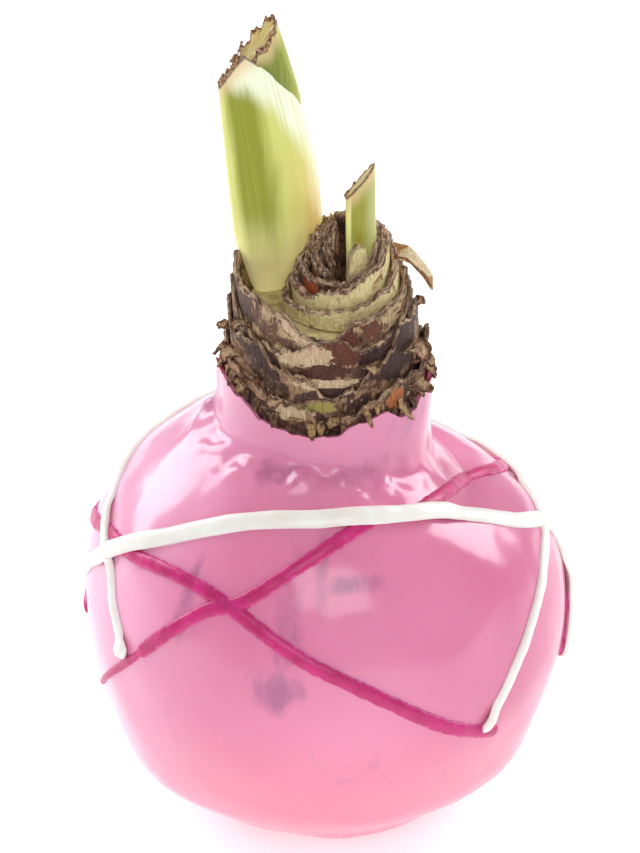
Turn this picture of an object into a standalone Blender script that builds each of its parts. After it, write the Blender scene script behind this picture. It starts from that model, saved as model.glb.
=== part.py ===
"""A waxed amaryllis bulb: a flower bulb dipped in pink wax, with poured trails of magenta and
white wax, a bare neck of cut leaf bases and torn tunics, and two cut shoots.

Metres, +Z up. The origin is the middle of the flat foot that the bulb stands on. Places round
the bulb are given as a bearing in degrees: 0 faces the front (-Y), 90 the right (+X), -90 the
left, 180 the back.
"""
import math

import bmesh
import bpy
from mathutils import Vector, noise

MM = 0.001

GLOBE_RADIUS = 45.0 * MM
GLOBE_HEIGHT = 40.5 * MM
WAX_THICKNESS = 2.0 * MM
GAP = 0.3 * MM

WAX_NECK_RADIUS = 19.7 * MM
WAX_NECK_WALL = 0.95 * MM
WAX_NECK_FILLET = 3.2 * MM
WAX_ROLL = 0.7 * MM
FOOT_FILLET = 0.8 * MM

SHOULDER_DIP = 7.6 * MM
SHOULDER_DIP_BEARING = 115.0

CORE_RADIUS = 14.2 * MM
CORE_TOP = 104.0 * MM
NECK_FOOT = 104.3 * MM
TUNIC_FOOT = 85.2 * MM
NECK_LEAN = 0.061
NECK_LEAN_START = 92.0 * MM
NECK_SHIFT = 0.3 * MM
CUP_MIDDLE = (4.1 * MM, -1.4 * MM)
CUP_DENT = 1.2 * MM

TALL_Y = 6.5 * MM
TALL_X_LOW = -8.25
TALL_WIDTH = 8.9 * MM
TALL_DEPTH = 5.0 * MM
TALL_WIDEST = 122.0 * MM
TALL_TURN = 30.0
TALL_CUT = 151.5 * MM
CLOSER_LOW = 1.3
SHEATH_RISE_FREE = 48.7 * MM
SHEATH_RISE_BACK = 41.3 * MM
SHEATH_THICKNESS = 0.65 * MM
SHEATH_GAP = 0.27 * MM
INNER_LEAF_BARE_SHARE = 0.95

SHORT_FOOT = (6.4 * MM, -1.2 * MM)
SHORT_CUT = 129.6 * MM
SHORT_HALF_WIDTH = 2.25 * MM
SHORT_HALF_DEPTH = 1.5 * MM

FLAKE_START = (13.5 * MM, 0.6 * MM, 114.6 * MM)
FLAKE_OUT = 6.1 * MM
FLAKE_DROP = 6.2 * MM
FLAKE_WIDTH = 3.4 * MM
FLAKE_THICKNESS = 0.7 * MM

TRAIL_HEIGHT = 0.9 * MM
TRAIL_GAP = 0.5 * MM
TRAIL_STEP = 3.2 * MM
MAGENTA_WIDTH = 2.7 * MM
WHITE_WIDTH = 3.4 * MM


def clear_scene():
    for item in list(bpy.data.objects):
        bpy.data.objects.remove(item)


def finish_material(name, colour, roughness):
    material = bpy.data.materials.new(name)
    material.use_nodes = True
    shader = material.node_tree.nodes["Principled BSDF"]
    shader.inputs["Base Color"].default_value = (*colour, 1.0)
    shader.inputs["Roughness"].default_value = roughness
    shader.inputs["Metallic"].default_value = 0.0
    return material


def add_piece(name, body, colour, roughness):
    mesh = bpy.data.meshes.new(name)
    body.to_mesh(mesh)
    body.free()
    piece = bpy.data.objects.new(name, mesh)
    bpy.context.scene.collection.objects.link(piece)
    mesh.materials.append(finish_material(name, colour, roughness))
    mesh.shade_smooth()
    mesh.set_sharp_from_angle(angle=math.radians(50.0))
    return piece


def grid_body(columns, rows, place):
    """A closed body from a grid laid over the surface that place(u, v) describes.

    Edges that meet are merged, open ends are filled flat, and the faces are split into
    triangles that point out.
    """
    body = bmesh.new()
    bmesh.ops.create_grid(body, x_segments=columns, y_segments=rows, size=0.5)
    for vert in body.verts:
        vert.co = place(vert.co.x + 0.5, vert.co.y + 0.5)
    bmesh.ops.remove_doubles(body, verts=body.verts, dist=1e-6)
    ends = [edge for edge in body.edges if edge.is_boundary]
    if ends:
        bmesh.ops.holes_fill(body, edges=ends, sides=0)
    bmesh.ops.triangulate(body, faces=body.faces)
    bmesh.ops.recalc_face_normals(body, faces=body.faces)
    return body


def towards(bearing):
    angle = math.radians(bearing)
    return Vector((math.sin(angle), -math.cos(angle), 0.0))


def smooth_step(value, low, high):
    share = min(max((value - low) / (high - low), 0.0), 1.0)
    return share * share * (3.0 - 2.0 * share)


def smooth_min(first, second, blend):
    share = max(blend - abs(first - second), 0.0) / blend
    return min(first, second) - share * share * blend / 4.0


def smooth_max(first, second, blend):
    return -smooth_min(-first, -second, blend)


def hump(bearing, middle, width):
    away = (bearing - middle + 180.0) % 360.0 - 180.0
    return math.exp(-(away / width) ** 2)


def round_the_neck(marks, bearing):
    """A value that runs smoothly through (bearing, value) marks all round the neck."""
    marks = sorted(marks)
    marks = [(marks[-1][0] - 360.0, marks[-1][1]), *marks, (marks[0][0] + 360.0, marks[0][1])]
    bearing = (bearing - marks[0][0]) % 360.0 + marks[0][0]
    for (low, start), (high, end) in zip(marks, marks[1:]):
        if low <= bearing <= high:
            return start + (end - start) * smooth_step(bearing, low, high)
    return marks[0][1]


def neck_middle(height):
    """How far the neck's middle lies to the right of the globe's, which turns left higher up."""
    shift = NECK_SHIFT * smooth_step(height, 80.0 * MM, 87.0 * MM)
    return shift - NECK_LEAN * max(height - NECK_LEAN_START, 0.0)


def globe_point(bearing, polar, inset, neck_radius):
    """A point of the bulb's skin, inset from the outside of the wax, at a polar angle from +Z."""
    turn = math.radians(polar)
    direction = towards(bearing) * math.sin(turn) + Vector((0.0, 0.0, math.cos(turn)))
    lean = (0.5 + 0.5 * math.cos(math.radians(bearing - SHOULDER_DIP_BEARING))) ** 2
    dip = SHOULDER_DIP * min(math.exp((48.0 - polar) / 18.0), 1.15) * lean
    lumps = noise.noise(direction * 2.2) * 0.55 * MM + noise.noise(direction * 5.0) * 0.3 * MM
    lumps *= smooth_step(150.0 - polar, 0.0, 25.0)
    reach = GLOBE_RADIUS - inset - dip + lumps
    if polar < 80.0:
        neck = neck_radius / max(math.sin(turn), 0.05)
        reach = smooth_max(reach, neck, WAX_NECK_FILLET)
        roll = smooth_step(polar, 24.0, 29.0) * (1.0 - smooth_step(polar, 31.0, 38.0))
        reach += roll * WAX_ROLL * (0.4 + noise.noise(direction * 8.0))
    if polar > 100.0:
        foot = (GLOBE_HEIGHT - inset) / -math.cos(turn)
        reach = smooth_min(reach, foot, FOOT_FILLET)
    point = Vector((0.0, 0.0, GLOBE_HEIGHT)) + direction * reach
    return point + Vector((neck_middle(point.z), 0.0, 0.0))


def skin_polar(share, top):
    """Polar angles from the foot's middle, 180, to the neck at top, closest at its bends."""
    if share < 0.15:
        return 180.0 - 25.0 * share / 0.15
    if share < 0.6:
        return 155.0 - 113.0 * (share - 0.15) / 0.45
    return 42.0 - (42.0 - top) * (share - 0.6) / 0.4


def rim_height(bearing):
    ragged = noise.noise(towards(bearing) * 3.1) * 1.6 * MM
    fin = hump(bearing, -93.0, 11.0) * 1.4 * MM
    return 89.2 * MM + ragged + fin


def coat_place(u, v):
    """The wax coat: up its outside from the foot, over the rim, and down its inside."""
    bearing = u * 360.0 - 180.0
    rise = rim_height(bearing) - GLOBE_HEIGHT
    outer_share = 0.62
    if v <= outer_share:
        top = math.degrees(math.atan2(WAX_NECK_RADIUS, rise))
        return globe_point(bearing, skin_polar(v / outer_share, top), 0.0, WAX_NECK_RADIUS)
    inner_radius = WAX_NECK_RADIUS - WAX_NECK_WALL
    top = math.degrees(math.atan2(inner_radius, rise))
    share = (1.0 - v) / (1.0 - outer_share)
    return globe_point(bearing, skin_polar(share, top), WAX_THICKNESS, inner_radius)


def bulb_place(u, v):
    """The fleshy bulb: foot, globe and shoulder, then the neck's core with a flat top."""
    bearing = u * 360.0 - 180.0
    inset = WAX_THICKNESS + GAP
    skin_share = 0.84
    top = math.degrees(math.atan2(CORE_RADIUS, CORE_TOP - GLOBE_HEIGHT))
    if v <= skin_share:
        return globe_point(bearing, skin_polar(v / skin_share, top), inset, CORE_RADIUS)
    edge = globe_point(bearing, top, inset, CORE_RADIUS)
    inward = 1.0 - (v - skin_share) / (1.0 - skin_share)
    return Vector((edge.x * inward, edge.y * inward, edge.z))


def make_bulb_and_coat():
    columns = 40
    bulb = grid_body(columns, 19, bulb_place)
    add_piece("bulb", bulb, (0.19, 0.10, 0.07), 0.7)
    coat = grid_body(columns, 42, coat_place)
    add_piece("wax_coat", coat, (0.86, 0.34, 0.55), 0.25)


def skin_direction(bearing, height):
    """The direction from the globe's middle to the outside of the wax at a height."""
    low, high = 25.0, 150.0
    for _ in range(30):
        polar = (low + high) / 2.0
        if globe_point(bearing, polar, 0.0, WAX_NECK_RADIUS).z > height:
            low = polar
        else:
            high = polar
    turn = math.radians(low)
    return towards(bearing) * math.sin(turn) + Vector((0.0, 0.0, math.cos(turn)))


def skin_point(direction):
    bearing = math.degrees(math.atan2(direction.x, -direction.y))
    polar = math.degrees(math.acos(direction.normalized().z))
    return globe_point(bearing, polar, 0.0, WAX_NECK_RADIUS)


def trail_route(marks):
    """Points on the wax at even steps along a smooth line through (bearing, height mm) marks."""
    knots = [skin_direction(bearing, height * MM) for bearing, height in marks]
    knots = [2.0 * knots[0] - knots[1], *knots, 2.0 * knots[-1] - knots[-2]]
    fine = []
    for before, start, end, after in zip(knots, knots[1:], knots[2:], knots[3:]):
        for step in range(24):
            t = step / 24.0
            line = 2.0 * start + (end - before) * t
            line += (2.0 * before - 5.0 * start + 4.0 * end - after) * t * t
            line += (3.0 * start - before - 3.0 * end + after) * t * t * t
            fine.append(skin_point(line))
    fine.append(skin_point(knots[-2]))
    length = sum((b - a).length for a, b in zip(fine, fine[1:]))
    count = round(length / TRAIL_STEP)
    route, walked, wanted = [fine[0]], 0.0, length / count
    for a, b in zip(fine, fine[1:]):
        walked += (b - a).length
        if walked >= wanted and len(route) < count:
            route.append(b)
            wanted += length / count
    return [*route, fine[-1]]


def skin_normal(point):
    """The wax's outward direction, from three points of its outside close together."""
    out = (point - Vector((0.0, 0.0, GLOBE_HEIGHT))).normalized()
    across = Vector((0.0, 0.0, 1.0)).cross(out).normalized()
    along = out.cross(across)
    reach = 0.02
    back = skin_point(out - (across + along) * reach)
    east = skin_point(out + across * reach) - back
    north = skin_point(out + along * reach) - back
    return east.cross(north).normalized()


def trail_strand(name, route, width, lift, drip=0.0):
    """A poured trail: a low rounded bead along the route, with soft ends and maybe a drip."""
    section = ((-0.5, 0.0), (-0.36, 0.72), (0.0, 1.0), (0.36, 0.72), (0.5, 0.0))
    last = len(route) - 1

    def place(u, v):
        index = round(u * last)
        point = route[index]
        ahead = route[min(index + 1, last)] - route[max(index - 1, 0)]
        normal = skin_normal(point)
        side = ahead.cross(normal).normalized()
        from_end = min(index, last - index)
        soft = (0.45, 0.85, 1.0)[min(from_end, 2)]
        swell = 1.0 + drip * (1.0, 0.9, 0.2, 0.0)[min(last - index, 3)]
        across, high = section[round(v * len(section)) % len(section)]
        reach = across * width * soft * swell * (1.0 + 0.12 * noise.noise(point * 90.0))
        stand = lift(point) + high * TRAIL_HEIGHT * (0.6 + 0.4 * soft) * swell ** 0.5
        return point + side * reach + normal * stand

    body = grid_body(last, len(section), place)
    mesh = bpy.data.meshes.new(name)
    body.to_mesh(mesh)
    body.free()
    strand = bpy.data.objects.new(name, mesh)
    return strand


def join_strands(name, strands, colour):
    """Melts crossing strands of one wax into one body."""
    group = bpy.data.collections.new(name + "_strands")
    bpy.context.scene.collection.children.link(group)
    bpy.context.scene.collection.objects.link(strands[0])
    for strand in strands[1:]:
        group.objects.link(strand)
    union = strands[0].modifiers.new("join", "BOOLEAN")
    union.operation = "UNION"
    union.operand_type = "COLLECTION"
    union.collection = group
    union.solver = "EXACT"
    graph = bpy.context.evaluated_depsgraph_get()
    joined = bpy.data.meshes.new_from_object(strands[0].evaluated_get(graph))
    body = bmesh.new()
    body.from_mesh(joined)
    bmesh.ops.remove_doubles(body, verts=body.verts, dist=2e-5)
    bmesh.ops.dissolve_degenerate(body, edges=body.edges, dist=2e-5)
    bmesh.ops.triangulate(body, faces=body.faces)
    for strand in strands:
        bpy.data.objects.remove(strand)
    bpy.data.collections.remove(group)
    return add_piece(name, body, colour, 0.3)


def make_trails():
    """Magenta lies on the coat. White lies on the coat too and bridges the magenta."""
    magenta_routes = [
        trail_route(((80, 32), (86, 36), (90, 40), (108, 40), (130, 38), (165, 38), (-160, 42),
                     (-125, 49), (-98, 54.5), (-74, 60.4), (-50, 63.1), (-29, 61.2), (-8, 54.6),
                     (14, 45.5), (27, 38.5), (36, 34.4), (46, 30.6))),
        trail_route(((-75, 28.3), (-60, 38.3), (-45, 50.4), (-29, 61.2), (-12, 67.6),
                     (12, 72.0), (38, 72.3), (64, 70.5), (90, 66.6), (108, 62.6), (124, 56.5),
                     (145, 53), (170, 50), (-165, 45), (-135, 41), (-105, 39.5), (-88, 38))),
    ]

    def on_coat(extra):
        return lambda point: TRAIL_GAP + extra

    magenta = [
        trail_strand("magenta_%d" % number, route, MAGENTA_WIDTH, on_coat(0.05 * MM * number))
        for number, route in enumerate(magenta_routes)
    ]
    bridge_start = 8.5 * MM
    bridge_full = 4.6 * MM
    under = [point for route in magenta_routes for point in route]

    def over_magenta(extra):
        def lift(point):
            near = min((point - other).length for other in under)
            bridge = 1.0 - smooth_step(near, bridge_full, bridge_start)
            return TRAIL_GAP + extra + bridge * (TRAIL_HEIGHT + GAP + 0.15 * MM)
        return lift

    white_routes = (
        (((81, 31.5), (86, 37), (93, 43.5), (98, 50), (92, 56.5), (78, 62), (54, 69.2),
          (27, 73.2), (-2, 74.8), (-28, 73.4), (-57, 65.7), (-77, 58), (-91, 47), (-112, 38),
          (-138, 33), (-160, 28)), 1.0, 0.35),
        (((-56, 42.5), (-63, 49.5), (-71, 55.7), (-86, 62.2), (-107, 67.5), (-135, 71.5),
          (-175, 71), (155, 63), (134, 58), (119, 57), (106, 57.4), (94, 56.6), (83, 55.6),
          (74, 54.3), (62, 50), (51, 43), (44, 37), (39.5, 33.3)), 0.72, 0.55),
    )
    white = []
    for number, (marks, share, drip) in enumerate(white_routes):
        lift = over_magenta(0.06 * MM * number)
        route = trail_route(marks)
        if number:
            route.reverse()
        white.append(trail_strand("white_%d" % number, route, WHITE_WIDTH * share, lift, drip))
    join_strands("wax_trails_magenta", magenta, (0.62, 0.03, 0.16))
    join_strands("wax_trails_white", white, (0.93, 0.90, 0.84))


def neck_wobble(bearing, height):
    way = towards(bearing)
    spot = Vector((way.x * 1.5, way.y * 1.5, height / (14.0 * MM)))
    return noise.noise(spot) * 0.35 * MM


def neck_wall(name, finish, radii, foot, top, arc=None, steps=40, rows=3, middle=(0.0, 0.0),
              wobble=0.0, ragged=0.0, flare=0.0, dent=0.0, bulge=0.0):
    """A leaf base or tunic: a thin wall round the neck with an uneven upper edge.

    radii are the inside and outside, arc the bearings that it spans, or None all round. The
    wall may lean out by flare at its top, give way by dent beside the tall shoot, and swell by
    bulge at its left.
    """
    inside, outside = radii
    start, end = arc or (-180.0, 180.0)
    loop = 2 * rows + 2
    seed = sum(ord(letter) for letter in name)

    def place(u, v):
        bearing = start + (end - start) * u
        mark = round(v * loop) % loop
        on_outside = mark <= rows
        share = mark / rows if on_outside else (loop - 1 - mark) / rows
        edge = round_the_neck(top, bearing) * MM
        if ragged:
            way = towards(bearing) * 5.5
            edge += noise.noise(Vector((way.x, way.y, seed * 0.7))) * ragged
        height = foot + (edge - foot) * share
        radius = outside if on_outside else inside
        radius += neck_wobble(bearing, height) * wobble
        radius += bulge * hump(bearing, -85.0, 35.0) - dent * hump(bearing, -138.0, 36.0)
        radius += flare * share * share
        way = towards(bearing)
        x = middle[0] + neck_middle(height) + way.x * radius
        return Vector((x, middle[1] + way.y * radius, height))

    colour, roughness = finish
    return add_piece(name, grid_body(steps, loop, place), colour, roughness)


DRY = ((0.10, 0.045, 0.03), 0.75)
PAPER = ((0.30, 0.17, 0.11), 0.7)
CREAM = ((0.62, 0.46, 0.27), 0.5)


def make_outer_neck():
    """The outer leaf base, and the torn tunics outside it, each lower than the one within."""
    neck_wall("leaf_base_outer", CREAM, (14.9 * MM, 15.8 * MM), TUNIC_FOOT,
              ((-120, 110.5), (-104, 111), (-97, 114), (-88, 111), (-60, 110.5), (-27, 109),
               (-12, 105.5), (5, 104), (22, 107), (60, 108.5), (100, 110.5), (180, 114)),
              steps=56, rows=4, wobble=1.0, ragged=0.9 * MM)
    neck_wall("tunic_upper", PAPER, (16.0 * MM, 16.6 * MM), TUNIC_FOOT,
              ((-120, 107), (-88, 109), (-65, 105), (-45, 102), (-20, 102.5), (5, 104.5),
               (30, 102), (48, 104), (75, 107), (95, 107.5), (180, 109)),
              steps=60, rows=4, wobble=1.0, ragged=1.4 * MM)
    neck_wall("tunic_middle", DRY, (16.85 * MM, 17.45 * MM), TUNIC_FOOT,
              ((-130, 101), (-95, 104.5), (-72, 101), (-45, 102.5), (-25, 99), (0, 94.5),
               (18, 95), (36, 99.5), (56, 104.5), (80, 105.5), (120, 101), (180, 103)),
              steps=60, rows=3, wobble=1.0, ragged=1.8 * MM)
    neck_wall("tunic_low_left", PAPER, (17.7 * MM, 18.3 * MM), 86.0 * MM,
              ((-150, 91), (-120, 94), (-95, 97.5), (-75, 94.5), (-55, 96), (-30, 92.8),
               (-5, 91)),
              arc=(-150.0, -6.0), steps=26, rows=2, wobble=1.0, ragged=1.8 * MM,
              flare=0.2 * MM)
    neck_wall("tunic_low_right", DRY, (17.7 * MM, 18.3 * MM), 86.0 * MM,
              ((10, 91), (28, 92.5), (46, 95.5), (66, 94.5), (88, 98), (118, 95)),
              arc=(8.0, 120.0), steps=20, rows=2, wobble=1.0, ragged=1.4 * MM,
              flare=0.9 * MM)


def make_inner_leaf_bases():
    """Cut cups round the short shoot: each cut runs low at the front left, high at the back."""
    cups = (
        ("leaf_base_cup_1", CREAM, (9.1, 10.2), 1.3,
         ((-150, 113), (-90, 107.5), (-40, 107), (0, 108.3), (45, 110.5), (90, 114),
          (140, 117.5), (180, 117.5))),
        ("leaf_base_cup_2", CREAM, (7.5, 8.7), 0.9,
         ((-150, 117), (-90, 111), (-50, 109.5), (0, 111.8), (45, 114.5), (90, 118),
          (180, 119.5))),
        ("leaf_base_cup_3", DRY, (6.0, 7.1), 0.5,
         ((-150, 118.5), (-90, 113), (-50, 112), (0, 112.6), (45, 114), (90, 117.5),
          (180, 120))),
    )
    for name, finish, (inside, outside), bulge, top in cups:
        neck_wall(name, finish, (inside * MM, outside * MM), NECK_FOOT, top, steps=34, rows=3,
                  middle=CUP_MIDDLE, ragged=0.7 * MM, dent=CUP_DENT, bulge=bulge * MM)
    neck_wall("leaf_base_torn_1", DRY, (3.65 * MM, 5.7 * MM), NECK_FOOT,
              ((-165, 119.5), (-90, 115), (-30, 113)), arc=(-165.0, -32.0), steps=14,
              rows=2, middle=CUP_MIDDLE, ragged=0.6 * MM, dent=CUP_DENT)
    neck_wall("leaf_base_torn_2", PAPER, (1.9 * MM, 3.35 * MM), NECK_FOOT,
              ((-165, 120), (-90, 116.5), (-30, 114)), arc=(-160.0, -38.0), steps=12,
              rows=2, middle=CUP_MIDDLE, ragged=0.6 * MM, dent=CUP_DENT)
    neck_wall("leaf_flap_front", CREAM, (4.8 * MM, 5.65 * MM), NECK_FOOT,
              ((8, 113.5), (20, 117.5), (35, 118.7), (50, 118), (62, 114)),
              arc=(8.0, 62.0), steps=10, rows=2, middle=CUP_MIDDLE)


def tall_middle(height):
    """The tall shoot's axis: it bends to the left as it grows."""
    up = (height - 112.0 * MM) / MM
    x = TALL_X_LOW - 0.055 * up - 0.0018 * max(up, 0.0) ** 2
    x -= 1.9 * (1.0 - smooth_step(height, 102.0 * MM, 112.0 * MM))
    return Vector((x * MM, TALL_Y, height))


def tall_swell(height):
    """The tall shoot is narrow where it leaves the neck, widest a third of the way up, and
    narrows again towards its cut.
    """
    climb = min(max(height - NECK_FOOT, 0.0) / (15.0 * MM), 1.0)
    swell = 0.36 + 0.64 * math.sin(climb * math.pi / 2.0)
    return swell - 0.33 * (max(height - TALL_WIDEST, 0.0) / (36.0 * MM)) ** 1.5


def inside_share(height, depth):
    """The share of the tall shoot's section that lies a depth inside its outline."""
    return 1.0 - depth / (TALL_DEPTH * tall_swell(height))


def tall_section(bearing, height, share):
    """A point of a flattened bundle round the tall shoot's axis, at a share of its size."""
    swell = tall_swell(height)
    turn = math.radians(TALL_TURN * (1.0 - 0.35 * smooth_step(height, 116.0 * MM, 150.0 * MM)))
    across = Vector((math.cos(turn), math.sin(turn), 0.0))
    along = Vector((-math.sin(turn), math.cos(turn), 0.0))
    angle = math.radians(bearing)
    wide = math.sin(angle) * TALL_WIDTH * swell * share
    deep = -math.cos(angle) * TALL_DEPTH * swell * share
    return tall_middle(height) + across * wide + along * deep


def sheath_free_edge(share):
    """The bearing of the sheath's free edge, at a share of its height there."""
    return 92.0 - 115.0 * min(max(share - 0.55, 0.0) / 0.45, 1.0) ** 2.4


def sheath_back_edge(share):
    return -258.0 + 74.0 * smooth_step(share, 0.36, 1.0)


def make_tall_shoot():
    """An inner leaf bundle, and a sheathing leaf whose edge slants across it to the left.

    The inner leaf swells out to the sheath's own outline where the sheath leaves it bare.
    """
    def inner_cut(bearing):
        slope = 5.4 * math.sin(math.radians(bearing)) + 0.5 * math.sin(bearing * 0.21)
        return TALL_CUT + slope * MM

    def inner_share(bearing, height):
        rise = height - NECK_FOOT
        free_edge = sheath_free_edge(rise / SHEATH_RISE_FREE)
        back_edge = sheath_back_edge(rise / SHEATH_RISE_BACK) + 360.0
        bare = min(bearing - free_edge, back_edge - bearing)
        covered = inside_share(height, SHEATH_THICKNESS + SHEATH_GAP)
        return covered + (INNER_LEAF_BARE_SHARE - covered) * smooth_step(bare, 20.0, 50.0)

    def inner_place(u, v):
        bearing = u * 360.0 - 180.0
        skin_share = 0.88
        if v <= skin_share:
            share = (v / skin_share) ** CLOSER_LOW
            height = NECK_FOOT + (inner_cut(bearing) - NECK_FOOT) * share
            return tall_section(bearing, height, inner_share(bearing, height))
        inward = (1.0 - v) / (1.0 - skin_share)
        height = TALL_CUT + (inner_cut(bearing) - TALL_CUT) * inward
        return tall_section(bearing, height, inner_share(bearing, height) * inward)

    inner = grid_body(26, 19, inner_place)
    add_piece("tall_shoot_inner_leaf", inner, (0.42, 0.46, 0.06), 0.35)

    rows = 13
    loop = 2 * rows + 2

    def sheath_place(u, v):
        mark = round(v * loop) % loop
        on_outside = mark <= rows
        share = (mark / rows if on_outside else (loop - 1 - mark) / rows) ** CLOSER_LOW
        back_edge = sheath_back_edge(share)
        free_edge = sheath_free_edge(share)
        bearing = back_edge + (free_edge - back_edge) * u
        cut = 145.6 + 7.4 * smooth_step(bearing, -95.0, 0.0) + 0.4 * math.sin(bearing * 0.17)
        height = NECK_FOOT + (cut * MM - NECK_FOOT) * share
        inside = inside_share(height, SHEATH_THICKNESS)
        return tall_section(bearing, height, 1.0 if on_outside else inside)

    add_piece("tall_shoot_sheath", grid_body(28, loop, sheath_place), (0.50, 0.52, 0.10), 0.3)


def make_short_shoot():
    """A folded young leaf, cut aslant from its tip at the right down to its left edge."""
    foot = Vector((*SHORT_FOOT, NECK_FOOT))

    def place(u, v):
        angle = u * math.tau - math.pi
        skin_share = 0.9
        inward = 1.0 if v <= skin_share else (1.0 - v) / (1.0 - skin_share)
        cut = SHORT_CUT + 3.4 * MM * math.sin(angle) * inward
        rise = min(v / skin_share, 1.0) * (cut - foot.z)
        wide = SHORT_HALF_WIDTH * (1.0 + 0.12 * smooth_step(rise, 0.0, 20.0 * MM))
        wide *= 1.0 - 0.22 * smooth_step(rise, 24.0 * MM, 36.0 * MM)
        x = math.sin(angle) * wide * inward
        y = -math.cos(angle) * SHORT_HALF_DEPTH * inward
        return foot + Vector((x, y, rise))

    add_piece("short_shoot", grid_body(14, 9, place), (0.40, 0.42, 0.08), 0.35)


def make_dry_flake():
    """A curled strip of dry tunic that sticks out over the right of the neck."""
    rows = 6

    def place(u, v):
        across = (u - 0.5) * FLAKE_WIDTH
        mark = round(v * 2 * rows) % (2 * rows)
        on_top = mark <= rows
        share = mark / rows if on_top else (2 * rows - mark) / rows
        out = share * FLAKE_OUT
        drop = FLAKE_DROP * share * share + 0.8 * MM * math.sin(u * 5.0)
        thick = FLAKE_THICKNESS * (0.5 if on_top else -0.5)
        return Vector(FLAKE_START) + Vector((out + thick * 0.5, across - 0.2 * out, thick - drop))

    add_piece("dry_flake", grid_body(4, 2 * rows, place), (0.66, 0.50, 0.30), 0.6)


def main():
    clear_scene()
    make_bulb_and_coat()
    make_trails()
    make_outer_neck()
    make_inner_leaf_bases()
    make_tall_shoot()
    make_short_shoot()
    make_dry_flake()


main()
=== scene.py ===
from math import acos, atan2, cos, degrees, exp, pi, radians, sin, sqrt, tau

import bmesh
import bpy
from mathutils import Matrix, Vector
from mathutils.noise import noise


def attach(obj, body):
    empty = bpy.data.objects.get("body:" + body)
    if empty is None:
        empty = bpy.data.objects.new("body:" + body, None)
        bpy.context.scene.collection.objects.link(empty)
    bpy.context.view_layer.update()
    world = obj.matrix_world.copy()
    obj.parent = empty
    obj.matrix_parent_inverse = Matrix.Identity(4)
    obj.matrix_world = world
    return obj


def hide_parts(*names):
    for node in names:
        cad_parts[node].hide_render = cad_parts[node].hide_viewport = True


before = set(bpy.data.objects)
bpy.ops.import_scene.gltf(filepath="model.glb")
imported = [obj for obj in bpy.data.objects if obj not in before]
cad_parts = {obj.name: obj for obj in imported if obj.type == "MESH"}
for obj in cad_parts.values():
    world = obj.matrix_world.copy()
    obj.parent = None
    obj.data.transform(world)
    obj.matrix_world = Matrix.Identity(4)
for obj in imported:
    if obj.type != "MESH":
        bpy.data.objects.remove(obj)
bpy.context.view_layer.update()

# The fleshy bulb
# A flower bulb is a stack of fleshy leaf bases grown tight together. Only the flat ground between
# the cut leaf bases of its neck shows, cream, with brown where it has dried.
MM = 0.001
DEGREES_A_RADIAN = 57.3


class Paint:
    """One socket of a material, so that shader maths reads as plain arithmetic."""

    def __init__(self, tree, socket):
        self.tree = tree
        self.socket = socket

    def node(self, kind, settings, inputs, output=0):
        made = self.tree.nodes.new("ShaderNode" + kind)
        for name, value in settings.items():
            setattr(made, name, value)
        for name, value in inputs.items():
            socket = made.inputs[name]
            if isinstance(value, Paint):
                self.tree.links.new(value.socket, socket)
            else:
                socket.default_value = (*value, 1) if socket.type == "RGBA" else value
        return Paint(self.tree, made.outputs[output])

    def maths(self, operation, first, second):
        return self.node("Math", {"operation": operation}, {0: first, 1: second})

    def __add__(self, other):
        return self.maths("ADD", self, other)

    def __sub__(self, other):
        return self.maths("SUBTRACT", self, other)

    def __rsub__(self, other):
        return self.maths("SUBTRACT", other, self)

    def __mul__(self, other):
        return self.maths("MULTIPLY", self, other)

    __radd__ = __add__
    __rmul__ = __mul__

    def bands(self, low, high):
        """0 below low, 1 above high, and smooth between."""
        return self.node("MapRange", {"interpolation_type": "SMOOTHSTEP"},
                         {"Value": self, "From Min": low, "From Max": high})

    def pick(self, first, second):
        """The colour first where this mask is 0, and second where it is 1."""
        return self.node("Mix", {"data_type": "RGBA"},
                         {0: self, 6: reflected(first), 7: reflected(second)}, 2)

    def scaled(self, factors):
        return self.node("VectorMath", {"operation": "MULTIPLY"}, {0: self, 1: factors})

    def grain(self, scale, detail=3, rough=0.5, warp=0):
        """Noise from 0 to 1 on this vector."""
        return self.node("TexNoise", {},
                         {"Vector": self, "Scale": scale, "Detail": detail, "Roughness": rough,
                          "Distortion": warp})

    def axis(self, number):
        """This vector's x, y or z, as 0, 1 or 2."""
        return self.node("SeparateXYZ", {}, {0: self}, number)

    def bearing(self):
        """Degrees round the bulb from its front, with 90 at the right."""
        x, y = self.axis(0), self.axis(1)
        return x.maths("ARCTAN2", x, y * -1) * DEGREES_A_RADIAN

    def kept(self, name):
        """A number that the mesh keeps for each of its points."""
        return self.node("Attribute", {"attribute_name": name}, {}, 2)


def reflected(colour):
    """A plain colour is given as it looks on a screen, 0 to 255. This is the light it reflects."""
    if isinstance(colour, Paint):
        return colour
    return tuple(
        share / 12.92 if share <= 0.04045 else ((share + 0.055) / 1.055) ** 2.4
        for share in (level / 255 for level in colour))


def new_finish(name, **constants):
    """A material with its fixed values set, and its place in millimetres."""
    material = bpy.data.materials.new(name)
    material.use_nodes = True
    tree = material.node_tree
    sockets = tree.nodes["Principled BSDF"].inputs
    for socket, value in constants.items():
        sockets[socket.replace("_", " ").title()].default_value = value
    coordinates = Paint(tree, tree.nodes.new("ShaderNodeTexCoord").outputs["Object"])
    return material, coordinates.scaled((1 / MM,) * 3)


def wire_up(material, colour, roughness=None, height=None, depth=0.3, strength=0.6, glow=None):
    """Gives the shader what varies. depth is how deep the relief is in mm."""
    sockets = material.node_tree.nodes["Principled BSDF"].inputs
    relief = height and colour.node("Bump", {}, {
        "Height": height, "Distance": depth * MM, "Strength": strength})
    for name, value in (("Base Color", colour), ("Roughness", roughness), ("Normal", relief),
                        ("Emission Color", glow)):
        if value:
            colour.tree.links.new(value.socket, sockets[name])
    return material


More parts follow.
